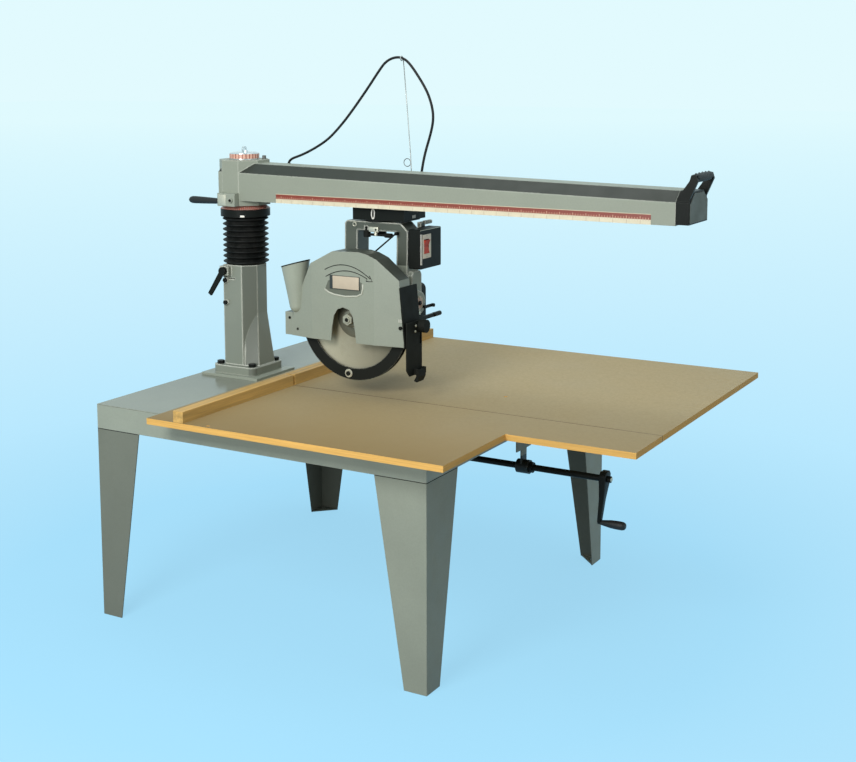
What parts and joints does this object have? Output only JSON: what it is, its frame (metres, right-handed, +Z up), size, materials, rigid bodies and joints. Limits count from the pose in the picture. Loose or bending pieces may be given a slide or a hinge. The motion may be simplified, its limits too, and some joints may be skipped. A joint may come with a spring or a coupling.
{
  "type": "radial arm saw",
  "caption": "Radial arm saw: a beam on a bellowed column carries a tilting blade head over a board table on four sheet-metal legs.",
  "frame": {"origin": "centre of the four floor-bolt holes, on the floor", "axes": "+Z up, -Y towards the operator along the arm, -X the side the blade hangs on"},
  "size_m": [1.7883, 2.149, 2.1395],
  "materials": {
    "frame_grey": "semi-gloss grey paint",
    "board_brown": "plain fibreboard with pale edges",
    "fence_wood": "bare softwood",
    "machine_black": "satin black paint",
    "yoke_grey": "dark grey paint",
    "column_steel": "ground steel",
    "dark_rubber": "matt rubber",
    "black_plastic": "matt moulded plastic",
    "scale_red": "red graduated band",
    "scale_cream": "cream graduated strip",
    "bright_chrome": "polished plating",
    "drive_iron": "machined iron",
    "nut_steel": "plain steel",
    "blade_steel": "ground saw plate",
    "switch_red": "red rocker"
  },
  "bodies": {
    "stand": {"frame_apron": "frame_grey", "frame_deck": "frame_grey", "leg_front_left": "frame_grey", "leg_front_right": "frame_grey", "leg_back_left": "frame_grey", "leg_back_right": "frame_grey", "table_board": "board_brown", "table_rear_strip": "board_brown", "table_fence": "fence_wood", "column_base_plate": "frame_grey", "column_casting": "frame_grey", "column_bolts": "machine_black", "gear_bracket": "drive_iron", "shaft_hanger": "frame_grey"},
    "crank": {"elevating_shaft": "column_steel", "drive_bevel_gear": "drive_iron", "crank_arm": "machine_black"},
    "crank_handle": {"crank_grip": "black_plastic"},
    "screw": {"lift_screw": "column_steel", "driven_bevel_gear": "drive_iron"},
    "column": {"inner_column": "column_steel", "column_collar": "machine_black", "miter_scale_ring": "scale_red", "bellows": "dark_rubber"},
    "column_lock": {"column_lock_lever": "machine_black"},
    "arm": {"arm_casting": "frame_grey", "column_cap": "bright_chrome", "arm_track_rods": "column_steel", "end_cap": "machine_black", "end_cap_plate": "frame_grey", "end_handle": "black_plastic", "rip_scale": "scale_cream", "cord_gland": "black_plastic", "miter_lock_block": "frame_grey"},
    "miter_lock": {"miter_lock_handle": "black_plastic"},
    "carriage": {"carriage_casting": "machine_black", "roller_axles": "column_steel", "cord": "dark_rubber", "cord_whip": "nut_steel"},
    "roller_a": {"roller_1": "column_steel"},
    "roller_b": {"roller_2": "column_steel"},
    "roller_c": {"roller_3": "column_steel"},
    "roller_d": {"roller_4": "column_steel"},
    "yoke": {"yoke_casting": "yoke_grey", "switch_box": "machine_black"},
    "rocker": {"switch_rocker": "switch_red"},
    "swivel_clamp": {"swivel_clamp_handle": "machine_black"},
    "motor": {"motor_housing": "machine_black", "guard_housing": "frame_grey", "dust_spout": "frame_grey", "bevel_dial": "scale_red", "guard_front_plate": "machine_black"},
    "bevel_clamp": {"bevel_clamp_lever": "machine_black"},
    "bevel_latch": {"bevel_latch_lever": "machine_black"},
    "blade": {"arbor_shaft": "nut_steel", "saw_blade": "blade_steel"},
    "ring_guard": {"lower_ring_guard": "machine_black"},
    "stop_bar": {"kickback_bar": "machine_black"},
    "stop_pawl": {"kickback_pawl": "machine_black"},
    "stop_knob": {"kickback_knob": "black_plastic"}
  },
  "joints": [
    {"name": "crank_spin", "type": "hinge", "parent": "stand", "child": "crank", "pos_m": [-0.02275, -1, 0.608], "axis": [0, 1, 0], "range_deg": [-3000, 14400]},
    {"name": "crank_grip_spin", "type": "hinge", "parent": "crank", "child": "crank_handle", "pos_m": [-0.02275, -1.08, 0.442], "axis": [0, 1, 0], "continuous": true},
    {"name": "screw_spin", "type": "hinge", "parent": "stand", "child": "screw", "pos_m": [-0.02275, 0.552, 0.9], "axis": [0, 0, 1], "range_deg": [-3000, 14400]},
    {"name": "column_lift", "type": "slide", "parent": "stand", "child": "column", "axis": [0, 0, 1], "range_m": [-0.05, 0.24], "deforming": ["bellows"]},
    {"name": "column_lock_turn", "type": "hinge", "parent": "stand", "child": "column_lock", "pos_m": [-0.12275, 0.592, 1.263], "axis": [1, 0, 0], "range_deg": [-35, 20]},
    {"name": "arm_swing", "type": "hinge", "parent": "column", "child": "arm", "pos_m": [-0.02275, 0.552, 1.6], "axis": [0, 0, 1], "range_deg": [-45, 45]},
    {"name": "miter_lock_turn", "type": "hinge", "parent": "arm", "child": "miter_lock", "pos_m": [-0.13375, 0.65, 1.549], "axis": [0, 1, 0], "range_deg": [-90, 0]},
    {"name": "carriage_slide", "type": "slide", "parent": "arm", "child": "carriage", "axis": [0, 1, 0], "range_m": [-1, 0], "deforming": ["cord"]},
    {"name": "roller_a_spin", "type": "hinge", "parent": "carriage", "child": "roller_a", "pos_m": [-0.0697, -0.05, 1.583], "axis": [0, 0, 1], "continuous": true},
    {"name": "roller_b_spin", "type": "hinge", "parent": "carriage", "child": "roller_b", "pos_m": [0.0242, -0.05, 1.583], "axis": [0, 0, 1], "continuous": true},
    {"name": "roller_c_spin", "type": "hinge", "parent": "carriage", "child": "roller_c", "pos_m": [-0.0697, -0.2, 1.583], "axis": [0, 0, 1], "continuous": true},
    {"name": "roller_d_spin", "type": "hinge", "parent": "carriage", "child": "roller_d", "pos_m": [0.0242, -0.2, 1.583], "axis": [0, 0, 1], "continuous": true},
    {"name": "yoke_swivel", "type": "hinge", "parent": "carriage", "child": "yoke", "pos_m": [-0.02275, -0.098, 1.48], "axis": [0, 0, 1], "range_deg": [-90, 90]},
    {"name": "swivel_clamp_turn", "type": "hinge", "parent": "yoke", "child": "swivel_clamp", "pos_m": [-0.05875, -0.06, 1.45], "axis": [0, 0, 1], "range_deg": [-35, 5]},
    {"name": "switch_rock", "type": "hinge", "parent": "yoke", "child": "rocker", "pos_m": [-0.04275, -0.312, 1.411], "axis": [1, 0, 0], "range_deg": [0, 12]},
    {"name": "bevel_clamp_turn", "type": "hinge", "parent": "yoke", "child": "bevel_clamp", "pos_m": [-0.07275, -0.299, 1.14], "axis": [0, 1, 0], "range_deg": [-5, 22]},
    {"name": "bevel_latch_turn", "type": "hinge", "parent": "yoke", "child": "bevel_latch", "pos_m": [-0.00875, -0.29, 1.173], "axis": [0, 1, 0], "range_deg": [0, 12]},
    {"name": "bevel_tilt", "type": "hinge", "parent": "yoke", "child": "motor", "pos_m": [-0.03875, -0.098, 1.191], "axis": [0, -1, 0], "range_deg": [0, 90]},
    {"name": "blade_spin", "type": "hinge", "parent": "motor", "child": "blade", "pos_m": [-0.20875, -0.098, 1.145], "axis": [1, 0, 0], "continuous": true},
    {"name": "lower_guard_lift", "type": "hinge", "parent": "motor", "child": "ring_guard", "pos_m": [-0.20875, 0.14, 1.086], "axis": [-1, 0, 0], "range_deg": [0, 3]},
    {"name": "kickback_slide", "type": "slide", "parent": "motor", "child": "stop_bar", "axis": [0, 0, 1], "range_m": [0, 0.06]},
    {"name": "pawl_swing", "type": "hinge", "parent": "stop_bar", "child": "stop_pawl", "pos_m": [-0.16475, -0.3573, 0.959], "axis": [1, 0, 0], "range_deg": [-20, 20]},
    {"name": "kickback_knob_turn", "type": "hinge", "parent": "motor", "child": "stop_knob", "pos_m": [-0.14675, -0.354, 1.127], "axis": [0, 1, 0], "continuous": true}
  ],
  "couplings": [
    {"joint": "screw_spin", "follows": "column_lift", "rad_per_m": 1047.2},
    {"joint": "crank_spin", "follows": "column_lift", "rad_per_m": 1047.2},
    {"joint": "roller_a_spin", "follows": "carriage_slide", "rad_per_m": 47.185},
    {"joint": "roller_b_spin", "follows": "carriage_slide", "rad_per_m": -47.185},
    {"joint": "roller_c_spin", "follows": "carriage_slide", "rad_per_m": 47.185},
    {"joint": "roller_d_spin", "follows": "carriage_slide", "rad_per_m": -47.185}
  ]
}
